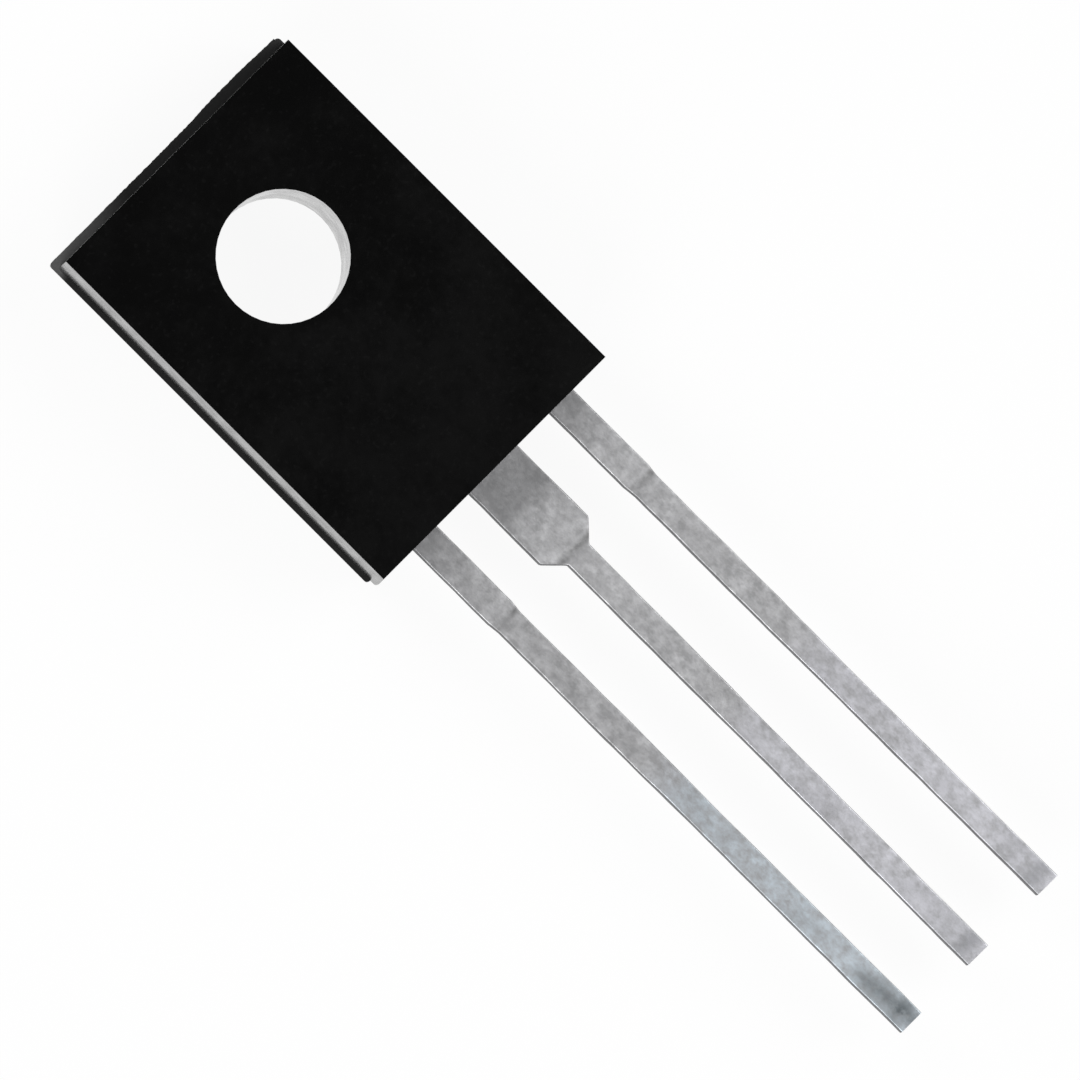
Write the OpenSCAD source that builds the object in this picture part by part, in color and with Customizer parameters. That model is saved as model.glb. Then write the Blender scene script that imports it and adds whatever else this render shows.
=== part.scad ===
// Bipolar transistor in a flat plastic power package with three leads and a mounting hole.
// Millimetres. The back face lies on z = 0 and the mounting hole's axis is the Z axis.
// +Y points to the end with the hole, and the leads point along -Y.

/* [Body] */
// Width of each half of the body at the parting line
body_w = 7.71; // [7.3:0.01:8.3]
// Length of each half of the body at the parting line
body_l = 10.67; // [10.4:0.01:11.2]
// Thickness of the body
body_t = 3.25; // [3.0:0.05:3.5]
// How far the front half's long sides lean in from the parting line to the front face
front_side_in = 0.125; // [0.03:0.005:0.2]
// How far the front half's ends lean in from the parting line to the front face
front_end_in = 0.03; // [0.01:0.01:0.2]
// How far the back half leans in from the parting line to the back face
back_in = 0.17; // [0.05:0.01:0.2]
// Radius of the upright corners
corner_r = 0.1; // [0.05:0.01:0.5]
// How far the back half stands out to the left of the front half, where the mould's halves met
half_shift_x = 0.105; // [0:0.005:0.25]
// How far the back half stands out past the front half at the end with the hole
half_shift_y = 0.21; // [0:0.01:0.25]

/* [Mounting hole] */
// Diameter of the mounting hole
hole_d = 3.2; // [3.0:0.05:3.4]
// From the end of the front half to the hole's axis
hole_from_end = 3.57; // [3.4:0.01:4.0]
// Wall of plastic that lines the hole inside the pad
hole_lining = 0.55; // [0.4:0.05:0.6]

/* [Pad] */
// Thickness of the pad that carries the chip
pad_t = 1.2; // [0.9:0.05:1.35]
// How far the pad keeps from each side of the front half, when both are centred
pad_side_wall = 0.87; // [0.7:0.01:1.0]
// From the front half's end with the hole to the pad
pad_end_wall = 0.75; // [0.6:0.05:1.0]
// From the front half's end with the leads to the pad
pad_lead_wall = 1.75; // [1.6:0.05:2.3]
// Height of the pad's exposed foot, below the ledge that locks it in the plastic
pad_foot_h = 0.45; // [0.3:0.05:0.6]
// Width of the ledge that locks the pad in the plastic
pad_ledge = 0.3; // [0.2:0.05:0.4]
// Radius of the pad's corners
pad_corner_r = 0.3; // [0.2:0.05:0.5]
// Diameter of the half round locking notch in each side of the pad
pad_notch_d = 0.7; // [0.5:0.05:0.9]

/* [Leads] */
// Distance between the centre lines of neighbouring leads
lead_pitch = 2.3; // [2.2:0.01:2.4]
// Length of the leads from the body to their tips
lead_l = 16.3; // [14:0.1:18]
// Thickness of the lead strip
lead_t = 0.5; // [0.45:0.01:0.6]
// Width of the leads over most of their length
lead_w = 0.7; // [0.65:0.01:0.85]
// From the back of the body to the underside of the leads
lead_z = 1.25; // [1.15:0.05:1.4]
// Width of the outer leads where they leave the body
outer_shoulder_w = 0.78; // [0.74:0.01:1.0]
// Length of the outer leads' wide stretch, from the body
outer_shoulder_l = 2.5; // [2.2:0.05:2.7]
// Width of the middle lead where it leaves the body
middle_shoulder_w = 1.62; // [1.4:0.01:1.75]
// Length of the middle lead's wide stretch, from the body
middle_shoulder_l = 2.38; // [2.2:0.01:2.7]
// From the body to where all the leads are narrow
narrow_from = 2.85; // [2.78:0.01:3.2]
// How far the whole lead frame sits to the right of the body's centre line
frame_shift = 0.1; // [-0.15:0.01:0.15]

/* [Inside] */
// Gap between the pad and the bond posts at the inner ends of the outer leads
post_gap = 0.25; // [0.2:0.05:0.35]
// Plastic between the bond posts and the end of the body
post_cover = 0.55; // [0.45:0.05:0.65]
// Width of the bond posts
post_w = 1.6; // [1.4:0.05:1.7]
// Inner radius of the bends that lift the middle lead off the pad
bend_r = 0.35; // [0.3:0.05:0.4]
// Flat stretch of the middle lead's neck before its first bend
neck_flat = 0.12; // [0.1:0.01:0.2]
// Side of the square chip
die_w = 1.3; // [1.0:0.05:1.6]
// Thickness of the chip
die_t = 0.25; // [0.2:0.01:0.35]
// Thickness of the solder under the chip
solder_t = 0.04; // [0.03:0.01:0.08]
// How far the solder spreads past the chip on each side
solder_rim = 0.08; // [0.04:0.01:0.15]
// Diameter of the emitter's bond wire
emitter_wire_d = 0.2; // [0.15:0.01:0.25]
// Diameter of the base's bond wire
base_wire_d = 0.14; // [0.12:0.01:0.2]
// Rise of the bond wires above the straight line between their feet
wire_rise = 0.5; // [0.4:0.05:0.7]

/* [Back] */
// Diameter of the ejector pin's mark in the back
ejector_d = 1.1; // [0.8:0.05:1.2]
// Depth of the ejector pin's mark
ejector_depth = 0.06; // [0.03:0.01:0.1]
// From the end of the body to the middle of the ejector pin's mark
ejector_from_end = 1.15; // [1.05:0.05:1.2]

/* [Hidden] */
$fn = 96;
past = 1;

epoxy = [0.09, 0.09, 0.095];
tinned = [0.72, 0.72, 0.74];
silicon = [0.38, 0.4, 0.45];
lead_grey = [0.55, 0.56, 0.58];
aluminium = [0.85, 0.86, 0.88];

// Heights of the levels inside the body.
parting_z = lead_z + lead_t;
die_z = pad_t + solder_t;
die_top = die_z + die_t;

// Ends of the body, and the pad's own outline.
hole_end_y = hole_from_end;
lead_end_y = hole_from_end - body_l;
tip_y = lead_end_y - lead_l;
pad_w = body_w - 2 * pad_side_wall;
pad_top_y = hole_end_y - pad_end_wall;
pad_low_y = lead_end_y + pad_lead_wall;
pad_l = pad_top_y - pad_low_y;
pad_hole_r = hole_d / 2 + hole_lining;

// The chip sits half way between the pad's hole and its low end.
die_y = (pad_low_y - pad_hole_r) / 2;

// Bond posts of the outer leads.
post_top_y = pad_low_y - post_gap;
post_low_y = lead_end_y + post_cover;
post_y = (post_top_y + post_low_y) / 2;

// Neck of the middle lead: two equal bends that share the rise between them.
neck_r = bend_r + lead_t / 2;
neck_low_z = pad_t - lead_t;
neck_rise = lead_z - neck_low_z;
neck_angle = acos(1 - neck_rise / (2 * neck_r));
neck_run = 2 * neck_r * sin(neck_angle);
neck_start_y = pad_low_y - neck_flat;
neck_end_y = neck_start_y - neck_run;
bend_steps = 8;

// Feet of the bond wires, as shares of the wire's diameter.
foot_h = 0.6;
foot_w = 1.5;
foot_l = 3;
wire_lift = 0.55;
// Middle of the emitter's and the base's contact, as shares of the chip's side.
emitter_contact = [-0.22, -0.12];
base_contact = [0.24, 0.16];

// A bar with sloping long sides, lying along Y. Its sides lean in by leans[0] at levels[0]
// and by leans[1] at levels[1].
module sloping_bar(w, l, leans, levels) {
    translate([0, l / 2, 0])
        rotate([90, 0, 0])
            linear_extrude(l)
                polygon([
                    [leans[0] - w / 2, levels[0]],
                    [w / 2 - leans[0], levels[0]],
                    [w / 2 - leans[1], levels[1]],
                    [leans[1] - w / 2, levels[1]]
                ]);
}

// Half of the body: what two crossed bars have in common, with its upright corners rounded.
module body_half(side_leans, end_leans, levels) {
    translate([0, (hole_end_y + lead_end_y) / 2, 0])
        intersection() {
            sloping_bar(body_w, body_l + past, side_leans, levels);
            rotate([0, 0, 90])
                sloping_bar(body_l, body_w + past, end_leans, levels);
            round_plate(body_w, -body_l / 2, body_l / 2, corner_r, levels[0], levels[1]);
        }
}

// The outside of the body: two halves that meet off-centre at the parting line.
module body_block() {
    translate([-half_shift_x, half_shift_y, 0])
        body_half([back_in, 0], [back_in, 0], [0, parting_z]);
    body_half([0, front_side_in], [0, front_end_in], [parting_z, body_t]);
}

// A flat plate with round corners, between two heights.
module round_plate(w, y_low, y_top, r, z_low, z_top) {
    translate([0, 0, z_low])
        linear_extrude(z_top - z_low) {
            translate([-w / 2, y_low + r])
                square([w, y_top - y_low - 2 * r]);
            translate([r - w / 2, y_low])
                square([w - 2 * r, y_top - y_low]);
            for (x = [r - w / 2, w / 2 - r], y = [y_low + r, y_top - r])
                translate([x, y])
                    circle(r);
        }
}

// The pad: an exposed foot, a wider ledge above it, and notches that the plastic fills.
module pad() {
    difference() {
        union() {
            round_plate(pad_w - 2 * pad_ledge, pad_low_y + pad_ledge, pad_top_y - pad_ledge,
                pad_corner_r, 0, pad_foot_h);
            round_plate(pad_w, pad_low_y, pad_top_y, pad_corner_r, pad_foot_h, pad_t);
        }
        translate([0, 0, -past])
            cylinder(r = pad_hole_r, h = pad_t + 2 * past);
        for (x = [-pad_w / 2, pad_w / 2])
            translate([x, die_y + die_w / 2, -past])
                cylinder(d = pad_notch_d, h = pad_t + 2 * past);
    }
}

// Points on a round bend of the neck. Way is -1 above the strip's low end and 1 below its high end.
function bend(centre, r, way, angles) = [
    for (a = angles)
        centre + way * r * [sin(a), cos(a)]
];

// The neck that lifts the middle lead from the pad's level to the leads' level, cut from its
// own side view. It reaches into the pad and into the middle lead's wide stretch.
module neck() {
    low_centre = [neck_start_y, neck_low_z + lead_t + bend_r];
    high_centre = [neck_end_y, lead_z - bend_r];
    climbing = [for (i = [0 : bend_steps]) neck_angle * i / bend_steps];
    levelling = [for (i = [1 : bend_steps]) neck_angle * (1 - i / bend_steps)];
    inner_y = pad_low_y + pad_corner_r;
    outer_y = lead_end_y - middle_shoulder_l / 2;
    translate([-middle_shoulder_w / 2, 0, 0])
        rotate([90, 0, 90])
            linear_extrude(middle_shoulder_w)
                polygon(concat(
                    [[inner_y, neck_low_z], [inner_y, neck_low_z + lead_t]],
                    bend(low_centre, bend_r, -1, climbing),
                    bend(high_centre, bend_r + lead_t, 1, levelling),
                    [[outer_y, lead_z + lead_t], [outer_y, lead_z]],
                    bend(high_centre, bend_r, 1, climbing),
                    bend(low_centre, bend_r + lead_t, -1, levelling)
                ));
}

// The part of a lead outside the body: wide at the body, then tapering to the narrow width.
module lead_tail(shoulder_w, shoulder_l) {
    translate([0, 0, lead_z])
        linear_extrude(lead_t)
            polygon([
                [-shoulder_w / 2, lead_end_y],
                [-shoulder_w / 2, lead_end_y - shoulder_l],
                [-lead_w / 2, lead_end_y - narrow_from],
                [-lead_w / 2, tip_y],
                [lead_w / 2, tip_y],
                [lead_w / 2, lead_end_y - narrow_from],
                [shoulder_w / 2, lead_end_y - shoulder_l],
                [shoulder_w / 2, lead_end_y]
            ]);
}

// An outer lead: its tail, and the bond post that anchors it inside the body.
module outer_lead() {
    lead_tail(outer_shoulder_w, outer_shoulder_l);
    translate([-outer_shoulder_w / 2, lead_end_y, lead_z])
        cube([outer_shoulder_w, post_cover, lead_t]);
    translate([-post_w / 2, post_low_y, lead_z])
        cube([post_w, post_top_y - post_low_y, lead_t]);
}

// A bond wire from one contact to another: a round arc between two flattened feet.
module bond_wire(from, to, d) {
    flat_run = norm([to[0] - from[0], to[1] - from[1]]);
    climb = to[2] - from[2];
    chord = norm([flat_run, climb]);
    arc_r = (chord * chord / 4 + wire_rise * wire_rise) / (2 * wire_rise);
    half_angle = asin(chord / (2 * arc_r));
    lean = atan2(climb, flat_run);
    translate(from)
        rotate([0, 0, atan2(to[1] - from[1], to[0] - from[0])]) {
            translate([flat_run / 2, 0, climb / 2 + wire_lift * d])
                rotate([0, -lean, 0])
                    translate([0, 0, wire_rise - arc_r])
                        rotate([90, 0, 0])
                            rotate([0, 0, 90 - half_angle])
                                rotate_extrude(angle = 2 * half_angle)
                                    translate([arc_r, 0])
                                        circle(d = d, $fn = 32);
            for (foot = [[0, 0], [flat_run, climb]])
                translate([foot[0] - foot_l * d / 2, -foot_w * d / 2, foot[1]])
                    cube([foot_l * d, foot_w * d, foot_h * d]);
        }
}

// Everything that is moulded in sits on the lead frame's own centre line.
module on_frame() {
    translate([frame_shift, 0, 0])
        children();
}

module collector_frame() {
    color(tinned)
        on_frame() {
            pad();
            neck();
            lead_tail(middle_shoulder_w, middle_shoulder_l);
        }
}

module emitter_lead() {
    color(tinned)
        on_frame()
            translate([-lead_pitch, 0, 0])
                outer_lead();
}

module base_lead() {
    color(tinned)
        on_frame()
            translate([lead_pitch, 0, 0])
                outer_lead();
}

module die_solder() {
    side = die_w + 2 * solder_rim;
    color(lead_grey)
        on_frame()
            translate([-side / 2, die_y - side / 2, pad_t])
                cube([side, side, solder_t]);
}

module transistor_die() {
    color(silicon)
        on_frame()
            translate([-die_w / 2, die_y - die_w / 2, die_z])
                cube([die_w, die_w, die_t]);
}

module emitter_bond_wire() {
    contact = die_w * emitter_contact;
    color(aluminium)
        on_frame()
            bond_wire([contact[0], die_y + contact[1], die_top],
                [-lead_pitch, post_y, parting_z], emitter_wire_d);
}

module base_bond_wire() {
    contact = die_w * base_contact;
    color(aluminium)
        on_frame()
            bond_wire([contact[0], die_y + contact[1], die_top],
                [lead_pitch, post_y, parting_z], base_wire_d);
}

// The moulded body, which fills every space that the pieces inside it leave.
module case() {
    color(epoxy)
        difference() {
            body_block();
            translate([0, 0, -past])
                cylinder(d = hole_d, h = body_t + 2 * past);
            translate([0, lead_end_y + ejector_from_end, -past])
                cylinder(d = ejector_d, h = past + ejector_depth);
            collector_frame();
            emitter_lead();
            base_lead();
            die_solder();
            transistor_die();
            emitter_bond_wire();
            base_bond_wire();
        }
}

case();
collector_frame();
emitter_lead();
base_lead();
transistor_die();
die_solder();
emitter_bond_wire();
base_bond_wire();
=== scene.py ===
# %% [markdown]
# # A flat plastic power transistor, seen from above
#
# The object is a black moulded body about as big as a fingernail, with a hole for a screw,
# and three tin plated leads that were stamped from one strip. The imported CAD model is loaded
# first and stays the measure of everything: each piece that is made here takes its place and
# its size from it. Lengths are in metres, the back lies on z = 0, the mounting hole's axis is
# the Z axis, and the leads point along -Y.

import random
from math import cos, pi, radians, sin

import bmesh
import bpy
from mathutils import Matrix, Vector


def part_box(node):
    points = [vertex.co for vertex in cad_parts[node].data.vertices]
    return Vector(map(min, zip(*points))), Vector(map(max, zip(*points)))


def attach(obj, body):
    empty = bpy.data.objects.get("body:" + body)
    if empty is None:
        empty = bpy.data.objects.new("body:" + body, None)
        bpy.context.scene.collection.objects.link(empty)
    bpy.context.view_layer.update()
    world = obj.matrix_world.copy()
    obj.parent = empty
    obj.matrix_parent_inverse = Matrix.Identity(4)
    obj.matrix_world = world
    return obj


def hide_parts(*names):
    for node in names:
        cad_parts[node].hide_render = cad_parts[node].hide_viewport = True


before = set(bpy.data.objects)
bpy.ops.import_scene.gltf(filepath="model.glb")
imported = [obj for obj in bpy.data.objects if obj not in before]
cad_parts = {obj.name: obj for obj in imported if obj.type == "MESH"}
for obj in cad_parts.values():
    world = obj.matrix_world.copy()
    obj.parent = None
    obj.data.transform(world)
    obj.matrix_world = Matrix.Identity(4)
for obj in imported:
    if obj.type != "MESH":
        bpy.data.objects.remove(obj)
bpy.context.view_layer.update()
MM = 0.001
scene = bpy.context.scene
print("nodes:", ", ".join(sorted(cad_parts)))

# %% [markdown]
# ## Measures
#
# A CAD node's box gives most of the places that the pieces below need. The rest are the
# levels at which the body changes: its two halves meet at the height of the leads' top face.

# %% Measures taken from the CAD nodes
case_low, case_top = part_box("case")
frame_low, frame_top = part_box("collector_frame")
emitter_low, emitter_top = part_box("emitter_lead")
base_low, base_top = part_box("base_lead")
FRONT_Z = case_top.z
PARTING_Z = emitter_top.z
LEAD_UNDERSIDE = emitter_low.z
LEAD_T = emitter_top.z - emitter_low.z
BODY_END = case_low.y
TIP_Y = emitter_low.y
EMITTER_X = (emitter_low.x + emitter_top.x) / 2
FRAME_X = (frame_low.x + frame_top.x) / 2
BASE_X = (base_low.x + base_top.x) / 2
print(f"parting line at {PARTING_Z / MM:.2f} mm, front at {FRONT_Z / MM:.2f} mm")

# %% [markdown]
# ## Camera
#
# The photograph looks down on the part from far away, leaning 5.3 degrees to the left, which
# is why the left wall and a crescent of the hole's wall show. In the picture the body's long
# axis runs from the upper left to the lower right. The camera is placed from three measured
# things: the scale, where the hole's centre falls in the picture, and the lean.

# %% Camera
PICTURE = 1080
PX_PER_MM = 42.3
HOLE_AT = (283.2, 256.5)
LEAN = radians(5.3)
LENS = 600
SENSOR = 36


def camera_place():
    """Where the camera stands, and its right, up and backward directions."""
    across = Vector((cos(LEAN), 0, sin(LEAN)))
    along = Vector((0, 1, 0))
    right = (across - along).normalized()
    up = (across + along).normalized()
    hole_front = Vector((0, 0, FRONT_Z))
    distance = PICTURE / PX_PER_MM * LENS / SENSOR * MM
    place = hole_front + distance * Vector((-sin(LEAN), 0, cos(LEAN)))
    to_middle = [(PICTURE / 2 - at) / PX_PER_MM * MM for at in HOLE_AT]
    aim = hole_front + right * to_middle[0] - up * to_middle[1]
    back = (place - aim).normalized()
    right = (right - back * right.dot(back)).normalized()
    return place, right, back.cross(right), back


place, right, up, back = camera_place()
camera_data = bpy.data.cameras.new("camera")
camera_data.lens = LENS
camera_data.sensor_width = SENSOR
camera_data.clip_start = 0.01
camera_data.clip_end = 5
camera = bpy.data.objects.new("camera", camera_data)
turn = Matrix((right, up, back)).transposed().to_4x4()
camera.matrix_world = Matrix.Translation(place) @ turn
scene.collection.objects.link(camera)
scene.camera = camera
print(f"camera {place.length / MM:.0f} mm from the hole, leaning {LEAN:.3f} rad")

# %% [markdown]
# ## Node trees as sums
#
# A procedural finish is a lot of small sums: noise times a number, plus a gradient, and so
# on. `Reading` wraps one output socket, so that `0.3 + 0.2 * grain` adds the Math nodes by
# itself. Every other node comes from `Bench.node`, which sets the node's settings first and
# then its sockets, because some settings change which sockets there are. Materials, the
# world and the leads' Geometry Nodes tree all use the same bench.

# %% Node tree helpers
class Reading:
    """One number, colour, vector or shape on its way through a node tree."""

    def __init__(self, bench, link):
        self.bench = bench
        self.link = link

    def __add__(self, other):
        return self.bench.maths("ADD", self, other)

    def __sub__(self, other):
        return self.bench.maths("SUBTRACT", self, other)

    def __rsub__(self, other):
        return self.bench.maths("SUBTRACT", other, self)

    def __mul__(self, other):
        return self.bench.maths("MULTIPLY", self, other)

    __radd__ = __add__
    __rmul__ = __mul__


def find_socket(sockets, key):
    """A socket by its identifier, its name or its number."""
    for socket in sockets:
        if socket.identifier == key:
            return socket
    return sockets[key]


class Bench:
    """A node tree that is being built."""

    def __init__(self, tree):
        self.tree = tree
        tree.nodes.clear()

    def node(self, kind, settings=None, sockets=None, out=0):
        """Adds a node, sets it, fills its sockets, and returns one of its outputs."""
        node = self.tree.nodes.new(kind)
        for key, value in (settings or {}).items():
            setattr(node, key, value)
        for key, value in (sockets or {}).items():
            socket = find_socket(node.inputs, key)
            if isinstance(value, Reading):
                self.tree.links.new(value.link, socket)
            else:
                socket.default_value = value
        return Reading(self, find_socket(node.outputs, out)) if len(node.outputs) else None

    def maths(self, operation, first, second=0.0):
        """A Math node."""
        return self.node("ShaderNodeMath", {"operation": operation}, {0: first, 1: second})

    def split(self, vector):
        """A vector's three parts."""
        return [self.node("ShaderNodeSeparateXYZ", None, {0: vector}, out=a) for a in "XYZ"]


class Finish(Bench):
    """A material that is being built."""

    def __init__(self, name):
        self.material = bpy.data.materials.new(name)
        self.material.use_nodes = True
        super().__init__(self.material.node_tree)
        self.place = self.node("ShaderNodeTexCoord", out="Object")

    def clamp_range(self, value, low, high, to_low=0.0, to_high=1.0, smooth=True):
        """Brings a value between two numbers, which become two others."""
        how = "SMOOTHSTEP" if smooth else "LINEAR"
        return self.node(
            "ShaderNodeMapRange",
            {"interpolation_type": how},
            {0: value, 1: low, 2: high, 3: to_low, 4: to_high},
        )

    def bell(self, value, middle, reach):
        """1 where a value is at its middle, falling smoothly to 0 at a reach from it."""
        return self.clamp_range(self.maths("ABSOLUTE", value - middle), reach, 0.0)

    def blend(self, share, first, second):
        """Mixes two colours by a share from 0 to 1."""
        sockets = {"Factor_Float": share, "A_Color": first, "B_Color": second}
        return self.node(
            "ShaderNodeMix", {"data_type": "RGBA"}, sockets, out="Result_Color"
        )

    def stretched(self, scale, offset=(0, 0, 0)):
        """The place on the object in millimetres, stretched by a scale for each axis."""
        whole = tuple(s / MM for s in scale)
        return self.node(
            "ShaderNodeMapping", None,
            {"Vector": self.place, "Scale": whole, "Location": offset},
        )

    def noise(self, scale, detail=2.0, roughness=0.5, stretch=(1, 1, 1), offset=(0, 0, 0)):
        """Smooth noise about 0.5, at so many waves to the millimetre."""
        sockets = {
            "Vector": self.stretched(stretch, offset),
            "Scale": scale, "Detail": detail, "Roughness": roughness,
        }
        return self.node("ShaderNodeTexNoise", None, sockets)

    def bump(self, height, strength, distance_mm):
        """A normal that is tilted by a height, which is in shares of a distance."""
        sockets = {"Strength": strength, "Distance": distance_mm * MM, "Height": height}
        return self.node("ShaderNodeBump", None, sockets, out="Normal")

    def millimetres(self):
        """The place on the object along X, Y and Z."""
        return [part * (1 / MM) for part in self.split(self.place)]

    def facing_up(self, low, high):
        """0 on upright faces, climbing to 1 on those that look straight up or down."""
        upright = self.split(self.node("ShaderNodeTexCoord", out="Normal"))[2]
        return self.clamp_range(upright * upright, low, high)

    def surface(self, sockets):
        """Ends the material in a Principled shader."""
        shader = self.node("ShaderNodeBsdfPrincipled", None, sockets)
        self.node("ShaderNodeOutputMaterial", None, {"Surface": shader})
        return self.material


def grey(level, blue=0.0):
    """A grey colour, or one that leans a little to blue."""
    return (level, level, level * (1 + blue), 1)


# %% [markdown]
# ## The black epoxy
#
# Transistor bodies are moulded from an epoxy that is filled with ground quartz. The mould's
# walls were spark eroded, so the faces are satin: dark, with a very fine tooth that spreads
# reflections. Where the part slides out of the mould, on the side walls and in the hole, it
# has a thin shiny skin, which mirrors the floor when it is seen at a low angle. The ledge
# where the mould's halves met is rougher and a little greyer. At the end with the hole it has
# a painted reflection, a lighter grey that is palest at its left corner. Places in this finish
# and the next are in millimetres.

# %% Black epoxy
EPOXY_DARK, EPOXY_PALE = 0.0006, 0.0030
# The second grey is the ledge's own slightly greyer tone, which also carries painted reflection
# at the hole end. The third grey is the painted reflection at the ledge's left corner.
QUARTZ_GREY, LEDGE_GREY, LEDGE_SHEEN_GREY = 0.02, 0.012, 0.12
EPOXY_ROUGHNESS = 0.20
EPOXY_IOR = 1.5
SKIN_LEAST, SKIN_MORE, SKIN_ROUGHNESS = 0.25, 0.5, 0.08
WORN_FROM, WORN_TO = 1.5, -7.0
HOLE_END_FROM, HOLE_END_TO = 3.2, 3.5
# Across the body, where the painted reflection on the hole-end ledge grows palest, towards the
# left.
LEDGE_SHEEN_FROM, LEDGE_SHEEN_TO = -0.6, -2.4
LEDGE_FROM, LEDGE_TO = 0.05, 0.005
TOOTH_DEPTH = 0.009


def black_epoxy():
    """The epoxy: tooth, grit and mottle are its fine, middle and coarse unevenness."""
    finish = Finish("black_epoxy")
    tooth = finish.noise(16, detail=3, roughness=0.6)
    grit = finish.noise(4.5, detail=2, roughness=0.6)
    mottle = finish.noise(0.55, detail=3, roughness=0.55)
    across, lengthwise, height = finish.millimetres()
    wall = 1 - finish.facing_up(0.1, 0.5)
    from_parting = finish.maths("ABSOLUTE", height - PARTING_Z / MM)
    ledge = finish.clamp_range(from_parting, LEDGE_FROM, LEDGE_TO) * (1 - wall)
    worn = finish.clamp_range(lengthwise, WORN_FROM, WORN_TO)
    pale = finish.clamp_range(mottle + 0.3 * worn + 0.7 * (grit - 0.5), 0.35, 1.0)
    colour = finish.blend(pale, grey(EPOXY_DARK), grey(EPOXY_PALE))
    quartz = finish.clamp_range(finish.noise(9, detail=1), 0.62, 0.74)
    colour = finish.blend(0.08 * quartz, colour, grey(QUARTZ_GREY))
    # Painted reflection: the ledge at the hole end is made a lighter grey, palest towards its
    # left corner. This is added to the ledge's own slightly greyer tone.
    hole_end = finish.clamp_range(lengthwise, HOLE_END_FROM, HOLE_END_TO)
    ledge_tone_and_sheen = ledge * (0.15 + 0.55 * hole_end + 0.6 * tooth)
    colour = finish.blend(ledge_tone_and_sheen, colour, grey(LEDGE_GREY))
    painted_ledge_sheen = finish.clamp_range(across + 1.2 * mottle, LEDGE_SHEEN_FROM, LEDGE_SHEEN_TO)
    painted_ledge_sheen = ledge * hole_end * painted_ledge_sheen * (0.6 + 0.6 * tooth)
    colour = finish.blend(painted_ledge_sheen, colour, grey(LEDGE_SHEEN_GREY))
    rough = EPOXY_ROUGHNESS + 0.06 * mottle + 0.33 * ledge + wall * (0.16 * tooth - 0.08)
    patchy = finish.clamp_range(finish.noise(1.6, detail=4, roughness=0.7), 0.3, 0.7)
    relief = (0.6 * tooth + 0.5 * grit) * (1 - 0.6 * wall)
    return finish.surface({
        "Base Color": colour, "Roughness": rough, "IOR": EPOXY_IOR,
        "Normal": finish.bump(relief, 0.45, TOOTH_DEPTH),
        "Coat Weight": wall * (SKIN_LEAST + SKIN_MORE * patchy),
        "Coat Roughness": SKIN_ROUGHNESS,
    })


BLACK_EPOXY = black_epoxy()
print("material:", BLACK_EPOXY.name)

# %% [markdown]
# ## Tin plate
#
# The leads are copper strip, electroplated with dull tin. Up close the tin is a mass of tiny
# crystals, so it is a rough metal with cloudy patches and a fine speckle, drawn out a little
# along the strip by the rolls that levelled it. By the body the tin has painted shade, where
# the body's end wall shades the leads. Towards the tips a painted gradient of light makes it
# lighter, and it is slightly bluish there, most of all on the left lead. The sides were sheared
# by the punch, and are rough and darker. A crease with painted shade in it crosses each
# shoulder, with a lighter, burnished band beside it. The stain and the bruises came from
# handling.

# %% Tin plate
# The first tin grey is painted shade by the body, where the body shades the leads.
TIN_BODY_SHADE, TIN_DULL, TIN_CLEAN = 0.22, 0.42, 0.80
# The first grey here is painted shade in the shoulder crease.
TIN_CREASE_SHADE, TIN_SHEARED = 0.2, 0.15
TIN_BLUISH = (0.72, 0.79, 0.85, 1)
STAIN = (0.07, 0.085, 0.09, 1)
FAINT_BLUE, SLIGHT_BLUE, MORE_BLUE = 0.02, 0.03, 0.06
LEFT_FROM, LEFT_TO = -1.2, -1.6
MIDDLE_FROM, MIDDLE_TO = 1.2, 0.9
# Where the painted shade by the body fades out, and how much further it reaches on the middle
# lead.
BODY_SHADE_FROM, BODY_SHADE_TO = -8.1, -7.1
BODY_SHADE_LONGER = 0.8
SHOULDER_CREASE, CREASE_REACH = -9.8, 0.16
BURNISHED_AT, BURNISHED_REACH = SHOULDER_CREASE + 0.38, 0.32
DIPPED_FROM, DIPPED_TO = -14.4, -16.0
# Where the painted light, which makes the tin lighter towards the tips, climbs.
TIP_LIGHT_FROM, TIP_LIGHT_TO = -17.5, -21.5
STAIN_START, STAIN_END = (-2.25, -21.5), (-2.13, -23.1)
STREAK_REACH, STREAK_FROM, STREAK_TO = 0.33, -21.2, -21.9
HANDLED_FROM, HANDLED_TO = -21.4, -22.4
BRUISE_AT, BRUISE_REACH = -23.0, 0.3
GRAIN_DEPTH = 0.010


def stained(finish, across, lengthwise, left, patches):
    """How dark the tin is by a stain along the left lead and by the bruise at each tip."""
    slope = (STAIN_END[0] - STAIN_START[0]) / (STAIN_END[1] - STAIN_START[1])
    line = across - (lengthwise - STAIN_START[1]) * slope
    streak = finish.bell(line + 0.16 * (patches - 0.5), STAIN_START[0], STREAK_REACH)
    streak = streak * finish.clamp_range(lengthwise, STREAK_FROM, STREAK_TO)
    handled = 0.10 * finish.clamp_range(lengthwise, HANDLED_FROM, HANDLED_TO)
    bruise = 0.24 * finish.bell(lengthwise + 0.3 * (patches - 0.5), BRUISE_AT, BRUISE_REACH)
    dark = (0.42 * streak + bruise) * finish.clamp_range(patches, 0.1, 0.6)
    return dark + handled * (1 + 0.6 * left)


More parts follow.
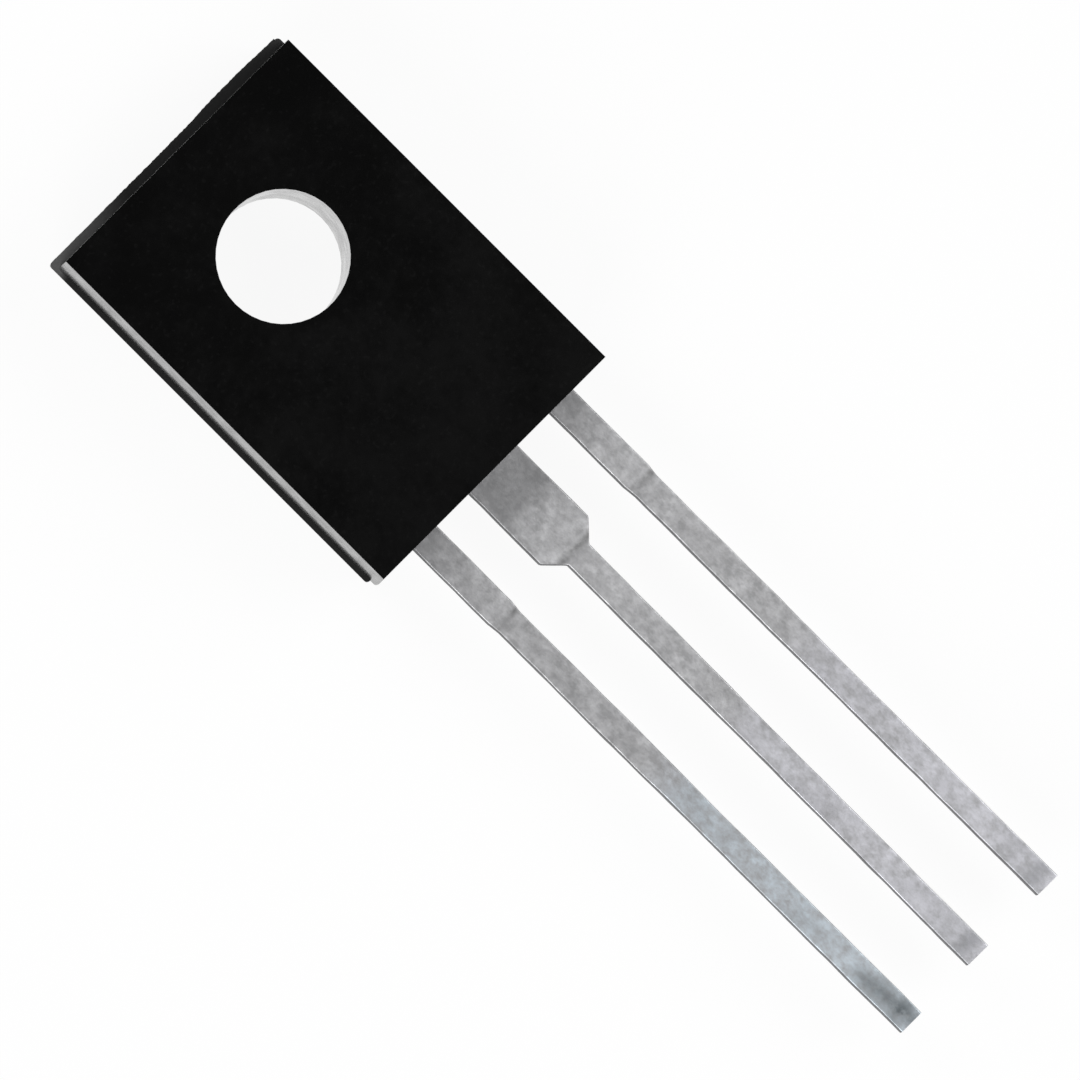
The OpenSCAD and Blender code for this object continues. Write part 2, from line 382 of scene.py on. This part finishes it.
def tin_plate():
    """The tin: a share from dull to clean, then what darkens it in one place or another."""
    finish = Finish("tin_plate")
    across, lengthwise, _ = finish.millimetres()
    sheared = 1 - finish.facing_up(0.15, 0.75)
    clouds = finish.noise(0.9, detail=3, roughness=0.6, stretch=(1.3, 0.7, 1.3))
    crystals = finish.noise(3.1, detail=3, roughness=0.65)
    grain = finish.noise(5.5, detail=2, roughness=0.6, stretch=(1.3, 0.8, 1.3))
    speckle = finish.noise(14, detail=2, roughness=0.7, offset=(3, 5, 7))
    left = finish.clamp_range(across, LEFT_FROM, LEFT_TO)
    middle = finish.clamp_range(finish.maths("ABSOLUTE", across), MIDDLE_FROM, MIDDLE_TO)
    # Painted shade: the tin is darker and duller by the body, where the body's end wall shades
    # the leads. It reaches further along the middle lead.
    painted_body_shade = finish.clamp_range(
        lengthwise + BODY_SHADE_LONGER * middle, BODY_SHADE_FROM, BODY_SHADE_TO
    )
    dipped = finish.clamp_range(lengthwise + 1.6 * (clouds - 0.5), DIPPED_FROM, DIPPED_TO)
    # Painted light: the tin grows lighter towards the tips, which see more of the bright
    # surroundings.
    painted_tip_light = finish.clamp_range(lengthwise, TIP_LIGHT_FROM, TIP_LIGHT_TO, smooth=False)
    burnished = finish.bell(lengthwise, BURNISHED_AT, BURNISHED_REACH)
    share = 0.40 + 0.17 * dipped + 0.16 * painted_tip_light - 0.10 * left
    share = share + 0.9 * (clouds - 0.5) + 1.25 * (crystals - 0.5) + 1.5 * (grain - 0.5)
    share = share + 0.10 * burnished - 0.12 * painted_body_shade
    share = finish.clamp_range(share, 0.0, 1.0, smooth=False)
    clean = finish.blend(dipped, grey(TIN_CLEAN, FAINT_BLUE), grey(TIN_CLEAN, MORE_BLUE))
    clean = finish.blend(left * dipped, clean, TIN_BLUISH)
    metal = finish.blend(share, grey(TIN_DULL, FAINT_BLUE), clean)
    # The painted shade by the body goes into the colour here.
    metal = finish.blend(0.42 * painted_body_shade, metal, grey(TIN_BODY_SHADE, FAINT_BLUE))
    # Painted shade: the tin is darkened in the shoulder crease, where the sunk top face lies in
    # shade.
    crease = finish.bell(lengthwise, SHOULDER_CREASE, CREASE_REACH)
    crease = crease * finish.clamp_range(crystals, 0.35, 0.6)
    metal = finish.blend(0.7 * crease, metal, grey(TIN_CREASE_SHADE))
    dark = stained(finish, across, lengthwise, left, crystals)
    metal = finish.blend(dark, metal, STAIN)
    punched = sheared * (0.8 + 0.2 * grain)
    metal = finish.blend(punched, metal, grey(TIN_SHEARED, SLIGHT_BLUE))
    rough = finish.clamp_range(clouds + 0.3 * grain, 0.35, 0.95, 0.62, 0.46)
    return finish.surface({
        "Base Color": metal, "Metallic": 1 - 0.5 * sheared, "Roughness": rough + 0.3 * sheared,
        "Normal": finish.bump(0.4 * grain + 0.6 * speckle, 0.5, GRAIN_DEPTH),
    })


TIN_PLATE = tin_plate()
print("material:", TIN_PLATE.name)

# %% [markdown]
# ## Finishes inside the body
#
# The chip, its solder and the bond wires can't be seen, but they are there, and someone may
# cut the case away. Silicon is dark and glassy with a metal grid on it, solder is a satin
# metal, and the wires are drawn aluminium with faint die lines along them.

# %% Silicon, solder and aluminium wire
def silicon():
    """Dark glassy silicon under a metal grid."""
    finish = Finish("silicon")
    haze = finish.noise(2.0, detail=2)
    cells = finish.node(
        "ShaderNodeTexBrick", {"offset": 0.0},
        {"Vector": finish.stretched((1, 1, 1)), "Color1": grey(0.34, 0.05),
         "Color2": grey(0.30, 0.05), "Mortar": grey(0.62), "Scale": 6.0,
         "Mortar Size": 0.05, "Brick Width": 0.9, "Row Height": 0.9},
        out="Color",
    )
    colour = finish.blend(0.3 * haze, cells, grey(0.2, 0.1))
    return finish.surface({
        "Base Color": colour, "Metallic": 0.6, "Roughness": 0.12 + 0.15 * haze,
    })


def solder():
    """Satin solder, with a frosted skin."""
    finish = Finish("solder")
    frost = finish.noise(5, detail=4, roughness=0.6)
    colour = finish.blend(frost, grey(0.36), grey(0.58))
    return finish.surface({
        "Base Color": colour, "Metallic": 1.0, "Roughness": 0.3 + 0.3 * frost,
        "Normal": finish.bump(frost, 0.4, 0.01),
    })


def aluminium_wire():
    """Drawn wire, with die lines."""
    finish = Finish("aluminium_wire")
    lines = finish.noise(14, detail=2, stretch=(1, 0.15, 1))
    colour = finish.blend(lines, grey(0.68), grey(0.86))
    return finish.surface({
        "Base Color": colour, "Metallic": 1.0, "Roughness": 0.22 + 0.2 * lines,
        "Normal": finish.bump(lines, 0.3, 0.004),
    })


INNER_FINISHES = {
    "transistor_die": silicon(),
    "die_solder": solder(),
    "emitter_bond_wire": aluminium_wire(),
}
INNER_FINISHES["base_bond_wire"] = INNER_FINISHES["emitter_bond_wire"]
for name, material in INNER_FINISHES.items():
    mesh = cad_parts[name].data
    mesh.materials.clear()
    mesh.materials.append(material)
print("inner finishes:", ", ".join(INNER_FINISHES))

# %% [markdown]
# ## The moulded body
#
# The CAD solid already has the real form: two halves that meet a little off-centre, the hole,
# and every pocket for what is moulded in. What a solid lacks is the small rounding that a
# real mould leaves on each edge. A merged copy of the node gets that from a Bevel modifier,
# which is steered by weights, so that only the edges on the outside are rounded and the
# pockets inside keep their exact fit.

# %% Helpers for merged copies
MERGE = 1e-7
FLAT = radians(1.0)
EDGE_FROM = radians(25)
SHARP = radians(50)
ENLARGED = 10_000


def merged_copy(node):
    """A node's mesh as a bmesh, with its loose triangles merged into whole faces."""
    mesh = bmesh.new()
    mesh.from_mesh(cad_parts[node].data)
    bmesh.ops.remove_doubles(mesh, verts=mesh.verts, dist=MERGE)
    bmesh.ops.dissolve_limit(
        mesh, angle_limit=FLAT, verts=mesh.verts, edges=mesh.edges, use_dissolve_boundaries=False
    )
    return mesh


def round_edges(mesh, chosen):
    """Marks the sharp edges that a test picks, for the Bevel modifier."""
    weights = mesh.edges.layers.float.new("bevel_weight_edge")
    count = 0
    for edge in mesh.edges:
        is_edge = len(edge.link_faces) == 2 and edge.calc_face_angle(0) > EDGE_FROM
        if is_edge and chosen(edge):
            edge[weights] = 1.0
            count += 1
    return count


def make_piece(name, mesh, material):
    """Puts a bmesh into a new object of its own."""
    data = bpy.data.meshes.new(name)
    mesh.to_mesh(data)
    mesh.free()
    data.materials.clear()
    data.materials.append(material)
    piece = bpy.data.objects.new(name, data)
    scene.collection.objects.link(piece)
    return piece


def settle(piece):
    """Applies a piece's modifiers, and takes them off."""
    graph = bpy.context.evaluated_depsgraph_get()
    data = bpy.data.meshes.new_from_object(piece.evaluated_get(graph))
    piece.modifiers.clear()
    piece.data = data
    data.name = piece.name


def flat_faces(piece):
    """Shades a piece so that its roundings are smooth and its large faces look flat.

    The Weighted Normal modifier passes over faces as small as these, so the mesh is made
    larger for it, and then small again.
    """
    piece.data.transform(Matrix.Scale(ENLARGED, 4))
    for face in piece.data.polygons:
        face.use_smooth = True
    piece.data.set_sharp_from_angle(angle=SHARP)
    flat = piece.modifiers.new("flat_faces", "WEIGHTED_NORMAL")
    flat.keep_sharp = True
    settle(piece)
    piece.data.transform(Matrix.Scale(1 / ENLARGED, 4))


def bevelled(piece, width, segments):
    """Rounds the marked edges, and keeps the faces beside them flat."""
    bevel = piece.modifiers.new("rounding", "BEVEL")
    bevel.width = width
    bevel.segments = segments
    bevel.limit_method = "WEIGHT"
    settle(piece)
    flat_faces(piece)


# %% The moulded body
CASE_ROUNDING = 0.03 * MM
NEAR = 0.02 * MM
WALL_DEPTH = 0.36 * MM
LEAD_END_DEPTH = 0.45 * MM
BESIDE_LEADS = 3.4 * MM
HOLE_R = 1.6 * MM
HOLE_NEAR = 0.1 * MM


def is_outside(point):
    """Whether a corner of the case is on its outside, and not in one of its pockets."""
    if abs(point.z - FRONT_Z) < NEAR:
        return True
    past_wall = max(case_low.x - point.x, point.x - case_top.x, point.y - case_top.y)
    at_lead_end = point.y < BODY_END + LEAD_END_DEPTH
    return past_wall > -WALL_DEPTH or at_lead_end and abs(point.x) > BESIDE_LEADS


def on_case_edge(edge):
    """Whether an edge of the case is one to round: on the outside, or at the hole's rims."""
    ends = [vert.co for vert in edge.verts]
    if all(is_outside(end) for end in ends):
        return True
    around_hole = all(abs(end.xy.length - HOLE_R) < HOLE_NEAR for end in ends)
    return around_hole and all(min(end.z, FRONT_Z - end.z) < NEAR for end in ends)


case_mesh = merged_copy("case")
marked = round_edges(case_mesh, on_case_edge)
moulded_case = make_piece("moulded_case", case_mesh, BLACK_EPOXY)
bevelled(moulded_case, CASE_ROUNDING, 3)
print("moulded case:", marked, "edges rounded,", len(moulded_case.data.polygons), "faces")
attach(moulded_case, "root")
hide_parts("case")

# %% [markdown]
# ## Flash at the parting line
#
# A little epoxy creeps between the mould's halves and stays as a paper-thin, ragged fringe.
# In the photograph it shows as a wavy outline at the end with the hole, and stands out most
# to the right. It is a thin closed strip whose width follows a few measured points, with a
# small seeded unevenness.

# %% Flash fringe
FLASH_WIDTHS = ((-3.85, 0.0), (-1.0, 0.012), (0.5, 0.020), (1.7, 0.060), (2.5, 0.066),
                (3.1, 0.050), (3.64, 0.030))
FLASH_STEP = 0.05
FLASH_ROOT = 0.08
FLASH_T = 0.045
FLASH_RAGGED = 0.007
FLASH_LEAST = 0.002
FLASH_BELOW_LEDGE = 0.002
FLASH_LIP = (0.004, 0.015)


def flash_width(x):
    """How far the fringe stands out at a place along the body's end, in millimetres."""
    for (x0, w0), (x1, w1) in zip(FLASH_WIDTHS, FLASH_WIDTHS[1:]):
        if x <= x1:
            share = (x - x0) / (x1 - x0)
            return w0 + (w1 - w0) * share * share * (3 - 2 * share)
    return FLASH_WIDTHS[-1][1]


def flash_mesh():
    """The fringe: one ring of four corners at each step along the body's end, joined up."""
    uneven = random.Random(11)
    mesh = bmesh.new()
    first_x, last_x = FLASH_WIDTHS[0][0], FLASH_WIDTHS[-1][0]
    steps = round((last_x - first_x) / FLASH_STEP)
    end, top = case_top.y / MM, PARTING_Z / MM - FLASH_BELOW_LEDGE
    rings = []
    for step in range(steps + 1):
        x = first_x + step * FLASH_STEP
        width = flash_width(x) + uneven.uniform(-FLASH_RAGGED, FLASH_RAGGED)
        out = end + max(FLASH_LEAST, width)
        section = ((end - FLASH_ROOT, top - FLASH_T), (end - FLASH_ROOT, top),
                   (out, top), (out - FLASH_LIP[0], top - FLASH_LIP[1]))
        rings.append([mesh.verts.new(Vector((x, y, z)) * MM) for y, z in section])
    for ring, following in zip(rings, rings[1:]):
        for i in range(4):
            j = (i + 1) % 4
            mesh.faces.new((ring[i], ring[j], following[j], following[i]))
    mesh.faces.new(rings[0])
    mesh.faces.new(rings[-1])
    bmesh.ops.recalc_face_normals(mesh, faces=mesh.faces)
    return mesh


flash = make_piece("parting_flash", flash_mesh(), BLACK_EPOXY)
print("parting flash:", len(flash.data.polygons), "faces")
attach(flash, "root")

# %% [markdown]
# ## The stamped leads
#
# All three leads are cut from one strip by the same kind of tool: a strip that is wide by the
# body, tapers after a short way, and ends in a square sheared tip. That is a rule, so one
# Geometry Nodes tree makes them all. It sweeps a rectangle with rounded corners along a line,
# and then pushes each ring's two sides outward, by how wide the strip has to be there. Noise
# of a few thousandths of a millimetre takes away the machine-made look.

# %% The tree of the stamped lead
LEAD_SIZES = (
    "Start", "Tip", "Centre", "Underside", "Thickness", "Width", "Shoulder Width",
    "Shoulder End", "Narrow From", "Post Width", "Post From", "Tip Width", "Slim From",
    "Slim To", "Crease", "Crease Depth", "Roll", "Roll Length", "Bend", "Corner",
    "Ring Spacing", "Unevenness",
)
CORNER_STEPS = 3
CREASE_HALF = 0.2 * MM
WANDER_SCALE = 900.0
SEED_STEP = 3.7


class Shape(Bench):
    """A Geometry Nodes tree that is being built, with its named inputs."""

    def __init__(self, name, sizes):
        super().__init__(bpy.data.node_groups.new(name, "GeometryNodeTree"))
        kinds = {size: "NodeSocketFloat" for size in sizes}
        kinds.update({"Seed": "NodeSocketInt", "Finish": "NodeSocketMaterial"})
        self.identifiers = {}
        for size, kind in kinds.items():
            socket = self.tree.interface.new_socket(size, in_out="INPUT", socket_type=kind)
            self.identifiers[size] = socket.identifier
        self.tree.interface.new_socket(
            "Geometry", in_out="OUTPUT", socket_type="NodeSocketGeometry"
        )
        self.given = self.tree.nodes.new("NodeGroupInput")

    def size(self, name):
        """One of the tree's named inputs."""
        return Reading(self, self.given.outputs[name])

    def vector(self, x, y, z):
        """A vector made of three numbers."""
        return self.node("ShaderNodeCombineXYZ", None, {0: x, 1: y, 2: z})

    def ramp(self, value, low, high, top):
        """Climbs from 0 to a top, as a value goes from low to high."""
        return self.node("ShaderNodeMapRange", None, {0: value, 1: low, 2: high, 3: 0.0, 4: top})


def swept_strip(shape):
    """A straight strip of one width, lying along Y."""
    line = shape.node(
        "GeometryNodeCurvePrimitiveLine", {"mode": "POINTS"},
        {"Start": shape.vector(0.0, shape.size("Start"), 0.0),
         "End": shape.vector(0.0, shape.size("Tip"), 0.0)},
    )
    line = shape.node(
        "GeometryNodeResampleCurve", {"mode": "LENGTH"},
        {"Curve": line, "Length": shape.size("Ring Spacing")},
    )
    section = shape.node(
        "GeometryNodeCurvePrimitiveQuadrilateral", {"mode": "RECTANGLE"},
        {"Width": shape.size("Width"), "Height": shape.size("Thickness")},
    )
    section = shape.node(
        "GeometryNodeFilletCurve", {"mode": "POLY"},
        {"Curve": section, "Count": CORNER_STEPS, "Radius": shape.size("Corner")},
    )
    return shape.node(
        "GeometryNodeCurveToMesh", None,
        {"Curve": line, "Profile Curve": section, "Fill Caps": True},
    )


def half_widened(shape, y):
    """By how much each side stands further out than the plain strip's, at a place along it."""
    width, shoulder = shape.size("Width"), shape.size("Shoulder Width")
    post_from, post = shape.size("Post From"), shape.size("Post Width")
    at_shoulder = shape.ramp(y, shape.size("Narrow From"), shape.size("Shoulder End"),
                             (shoulder - width) * 0.5)
    at_post = shape.ramp(y, post_from, post_from + shape.size("Ring Spacing"),
                         (post - shoulder) * 0.5)
    at_tip = shape.ramp(y, shape.size("Slim From"), shape.size("Slim To"),
                        (shape.size("Tip Width") - width) * 0.5)
    return at_shoulder + at_post + at_tip


def sunk_top(shape, y, z):
    """How far the top face lies lower, in the crease and where the tip was rolled over."""
    tip = shape.size("Tip")
    rolled = shape.ramp(y, tip + shape.size("Roll Length"), tip, 1.0)
    from_crease = shape.maths("ABSOLUTE", y - shape.size("Crease"))
    creased = shape.ramp(from_crease, CREASE_HALF, 0.0, shape.size("Crease Depth"))
    upper = shape.maths("GREATER_THAN", z)
    return upper * (creased + shape.size("Roll") * rolled * rolled)


def wander(shape, point):
    """A small smooth unevenness in all directions."""
    noise = shape.node(
        "ShaderNodeTexNoise", {"noise_dimensions": "4D"},
        {"Vector": point, "W": shape.size("Seed") * SEED_STEP, "Scale": WANDER_SCALE,
         "Detail": 2.0},
        out="Color",
    )
    about_zero = shape.node("ShaderNodeVectorMath", {"operation": "SUBTRACT"},
                            {0: noise, 1: (0.5, 0.5, 0.5)})
    return shape.node("ShaderNodeVectorMath", {"operation": "SCALE"},
                      {0: about_zero, "Scale": shape.size("Unevenness")})


def stamped_lead_tree():
    """A strip that is moved to its place, widened, creased, rolled over and bent a little."""
    shape = Shape("stamped_lead", LEAD_SIZES)
    strip = swept_strip(shape)
    point = shape.node("GeometryNodeInputPosition")
    x, y, z = shape.split(point)
    side = shape.maths("SIGN", x)
    way = shape.ramp(y, shape.size("Start"), shape.size("Tip"), 1.0)
    sideways = shape.size("Centre") + shape.size("Bend") * way * way
    sideways = sideways + side * half_widened(shape, y)
    lift = shape.size("Underside") + shape.size("Thickness") * 0.5 - sunk_top(shape, y, z)
    offset = shape.node(
        "ShaderNodeVectorMath", {"operation": "ADD"},
        {0: shape.vector(sideways, 0.0, lift), 1: wander(shape, point)},
    )
    strip = shape.node("GeometryNodeSetPosition", None, {"Geometry": strip, "Offset": offset})
    strip = shape.node("GeometryNodeRealizeInstances", None, {"Geometry": strip})
    strip = shape.node("GeometryNodeSetMaterial", None,
                       {"Geometry": strip, "Material": shape.size("Finish")})
    shape.node("NodeGroupOutput", None, {0: strip})
    return shape


STAMPED_LEAD = stamped_lead_tree()
print("lead tree:", len(STAMPED_LEAD.tree.nodes), "nodes")

# %% [markdown]
# ## Three leads from one tree
#
# The two outer leads end inside the body in a wide post, where a bond wire lands. The middle
# one is part of the collector's frame, so it is cut off just inside the body, and the frame's
# own copy goes on from there.

# %% Make the leads
LEAD_W = 0.70 * MM
OUTER_SHOULDER = 0.78 * MM
MIDDLE_SHOULDER = 1.62 * MM
CUT_Y = BODY_END + 0.35 * MM
SHARED_SIZES = {
    "Tip": TIP_Y, "Underside": LEAD_UNDERSIDE, "Thickness": LEAD_T, "Width": LEAD_W,
    "Narrow From": BODY_END - 2.85 * MM, "Tip Width": 0.665 * MM,
    "Slim From": DIPPED_FROM * MM, "Slim To": DIPPED_TO * MM,
    "Crease": SHOULDER_CREASE * MM, "Crease Depth": 0.015 * MM,
    "Roll": 0.02 * MM, "Roll Length": 0.25 * MM, "Corner": 0.035 * MM,
    "Ring Spacing": 0.05 * MM, "Unevenness": 0.04 * MM, "Finish": TIN_PLATE,
}
OUTER_SIZES = {
    "Start": emitter_top.y, "Shoulder Width": OUTER_SHOULDER,
    "Shoulder End": BODY_END - 2.5 * MM, "Post Width": emitter_top.x - emitter_low.x,
    "Post From": BODY_END + 0.55 * MM,
}
MIDDLE_SIZES = {
    "Start": CUT_Y, "Shoulder Width": MIDDLE_SHOULDER, "Shoulder End": BODY_END - 2.38 * MM,
    "Post Width": MIDDLE_SHOULDER, "Post From": 0.0,
}


def make_lead(name, node, own_sizes, centre, bend, seed):
    """Runs the lead's tree with one lead's sizes, and keeps the result as a plain mesh.

    The bend says how far the tip stands to the right, in millimetres.
    """
    piece = bpy.data.objects.new(name, bpy.data.meshes.new(name))
    scene.collection.objects.link(piece)
    modifier = piece.modifiers.new("stamped_lead", "NODES")
    modifier.node_group = STAMPED_LEAD.tree
    values = {**SHARED_SIZES, **own_sizes, "Centre": centre, "Bend": bend * MM, "Seed": seed}
    for size, value in values.items():
        modifier[STAMPED_LEAD.identifiers[size]] = value
    settle(piece)
    flat_faces(piece)
    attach(piece, "root")
    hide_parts(node)
    low = [min(v.co[i] for v in piece.data.vertices) / MM for i in range(3)]
    top = [max(v.co[i] for v in piece.data.vertices) / MM for i in range(3)]
    print(name, len(piece.data.polygons), "faces", [round(v, 3) for v in low + top])


make_lead("emitter_strip", "emitter_lead", OUTER_SIZES, EMITTER_X, 0.025, seed=1)
make_lead("collector_strip", "collector_frame", MIDDLE_SIZES, FRAME_X, -0.02, seed=2)
make_lead("base_strip", "base_lead", OUTER_SIZES, BASE_X, 0.035, seed=3)

# %% [markdown]
# ## The heat spreader
#
# The collector's frame goes on inside the body as a thick pad that carries the chip and
# comes to the surface at the back, where it is pressed against a heatsink. A merged copy of
# the node is cut off at the plane where the middle lead's strip begins.

# %% Make the heat spreader
SPREADER_ROUNDING = 0.03 * MM

spreader_mesh = merged_copy("collector_frame")
everything = spreader_mesh.verts[:] + spreader_mesh.edges[:] + spreader_mesh.faces[:]
cut = bmesh.ops.bisect_plane(
    spreader_mesh, geom=everything, plane_co=(0, CUT_Y, 0), plane_no=(0, 1, 0), clear_inner=True
)
rim = [part for part in cut["geom_cut"] if isinstance(part, bmesh.types.BMEdge)]
bmesh.ops.contextual_create(spreader_mesh, geom=rim)
bmesh.ops.recalc_face_normals(spreader_mesh, faces=spreader_mesh.faces)
foot_edges = round_edges(
    spreader_mesh, lambda edge: all(abs(vert.co.z) < NEAR for vert in edge.verts)
)
heat_spreader = make_piece("heat_spreader", spreader_mesh, TIN_PLATE)
bevelled(heat_spreader, SPREADER_ROUNDING, 2)
print("heat spreader:", foot_edges, "edges rounded")
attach(heat_spreader, "root")
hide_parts("collector_frame")

# %% [markdown]
# ## Floor
#
# The part lies on a white sheet. To the camera, and in glossy reflections, the sheet is
# mostly its own even white, so that the background is clean. A share of it is still a plain
# white paper that takes the light, and that share keeps the part's soft shadow. The sheet is
# one-sided, so that the part's back can be looked at from below.

# %% Floor
FLOOR_HALF = 0.6
FLOOR_GAP = 0.002 * MM
PAPER = 0.9
GLOW_SHARE = 0.93


def seen_directly(bench):
    """1 for rays from the camera, from a mirror or through glass, and 0 for the others."""
    rays = [bench.node("ShaderNodeLightPath", out=f"Is {kind} Ray")
            for kind in ("Camera", "Glossy", "Transmission")]
    return bench.maths("MAXIMUM", bench.maths("MAXIMUM", rays[0], rays[1]), rays[2])


def white_sheet():
    """The floor's material: paper that takes light, mixed with its own even white."""
    finish = Finish("white_sheet")
    fibres = finish.noise(2.5, detail=3)
    tone = finish.blend(fibres, grey(PAPER - 0.01), grey(PAPER + 0.01))
    paper = finish.node("ShaderNodeBsdfDiffuse", None, {"Color": tone})
    glow = finish.node("ShaderNodeEmission", None, {"Color": (1, 1, 1, 1), "Strength": 1.0})
    share = GLOW_SHARE * seen_directly(finish)
    sheet = finish.node("ShaderNodeMixShader", None, {0: share, 1: paper, 2: glow})
    clear = finish.node("ShaderNodeBsdfTransparent")
    under = finish.node("ShaderNodeNewGeometry", out="Backfacing")
    sheet = finish.node("ShaderNodeMixShader", None, {0: under, 1: sheet, 2: clear})
    finish.node("ShaderNodeOutputMaterial", None, {"Surface": sheet})
    return finish.material


floor_mesh = bmesh.new()
bmesh.ops.create_grid(floor_mesh, x_segments=1, y_segments=1, size=FLOOR_HALF)
bmesh.ops.translate(floor_mesh, verts=floor_mesh.verts, vec=(0, 0, -FLOOR_GAP))
floor = make_piece("floor", floor_mesh, white_sheet())
print("floor:", 2 * FLOOR_HALF, "m wide")

# %% [markdown]
# ## Light
#
# The black face is nearly as dark as the picture can show, so there is little light straight
# above, where a flat face would mirror it. Large soft lamps stand around the part instead,
# and together they light a white sheet to just about white.

# %% Lamps and the world
LAMP_AIM = Vector((0, -9 * MM, 1.5 * MM))
LAMP_DISTANCE = 0.35
SKY = 0.03


def soft_lamp(name, azimuth, elevation, width, brightness):
    """A square soft lamp that looks at the part.

    Azimuth 0 is beyond the tips, and 90 is to the right. The brightness is that of its face,
    so a larger lamp of the same brightness gives more light.
    """
    data = bpy.data.lights.new(name, "AREA")
    data.shape = "SQUARE"
    data.size = width
    data.energy = brightness * width * width * pi
    lamp = bpy.data.objects.new(name, data)
    level = cos(radians(elevation))
    way = Vector((
        level * sin(radians(azimuth)), -level * cos(radians(azimuth)), sin(radians(elevation))
    ))
    lamp.location = LAMP_AIM + way * LAMP_DISTANCE
    lamp.rotation_euler = way.to_track_quat("Z", "Y").to_euler()
    scene.collection.objects.link(lamp)


soft_lamp("left_softbox", 285, 38, 0.26, 4.6)
soft_lamp("right_softbox", 60, 42, 0.24, 4.4)
soft_lamp("far_softbox", 180, 40, 0.20, 3.0)

world = bpy.data.worlds.new("studio")
world.use_nodes = True
room = Bench(world.node_tree)
dim = room.node("ShaderNodeBackground", None, {"Color": (1, 1, 1, 1), "Strength": SKY})
white = room.node("ShaderNodeBackground", None, {"Color": (1, 1, 1, 1), "Strength": 1.0})
camera_ray = room.node("ShaderNodeLightPath", out="Is Camera Ray")
sky = room.node("ShaderNodeMixShader", None, {0: camera_ray, 1: dim, 2: white})
room.node("ShaderNodeOutputWorld", None, {"Surface": sky})
scene.world = world

# %% [markdown]
# ## View transform
#
# The view transform is Standard, so that colours come out as written.

# %% Set the view transform
scene.view_settings.view_transform = "Standard"
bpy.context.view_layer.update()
